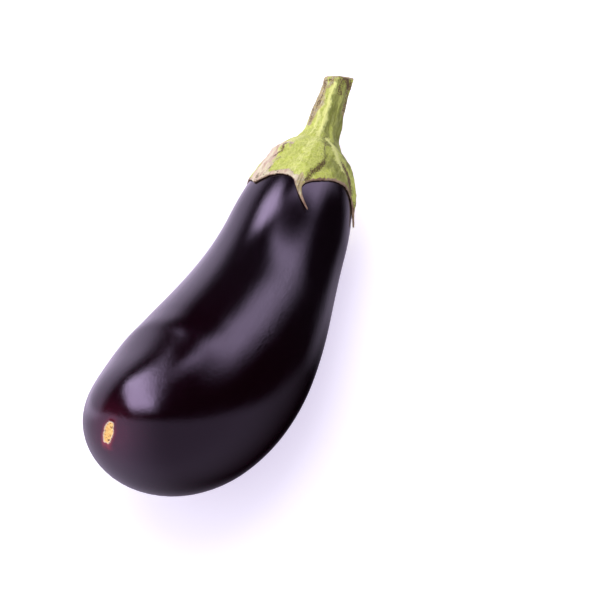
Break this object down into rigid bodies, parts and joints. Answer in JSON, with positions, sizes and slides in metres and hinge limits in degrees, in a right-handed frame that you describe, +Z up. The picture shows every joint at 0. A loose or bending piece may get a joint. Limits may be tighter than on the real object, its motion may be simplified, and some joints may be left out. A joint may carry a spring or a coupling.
{
  "type": "eggplant",
  "caption": "Globe eggplant lying on its side: a glossy dark purple pear-shaped fruit with a green lobed calyx, a short cut stem and a small corky blossom scar.",
  "frame": {"origin": "middle of the small flat spot under the belly, on the surface that the eggplant rests on", "axes": "+X from the blossom end to the stem, +Z up"},
  "size_m": [0.2472, 0.0844, 0.0911],
  "materials": {
    "skin": "smooth waxy gloss, near-black purple",
    "calyx_green": "fibrous, yellow-green, dry and brown at the edges and on the cut end"
  },
  "bodies": {
    "root": {"fruit": "skin", "calyx_and_stem": "calyx_green"}
  },
  "joints": []
}
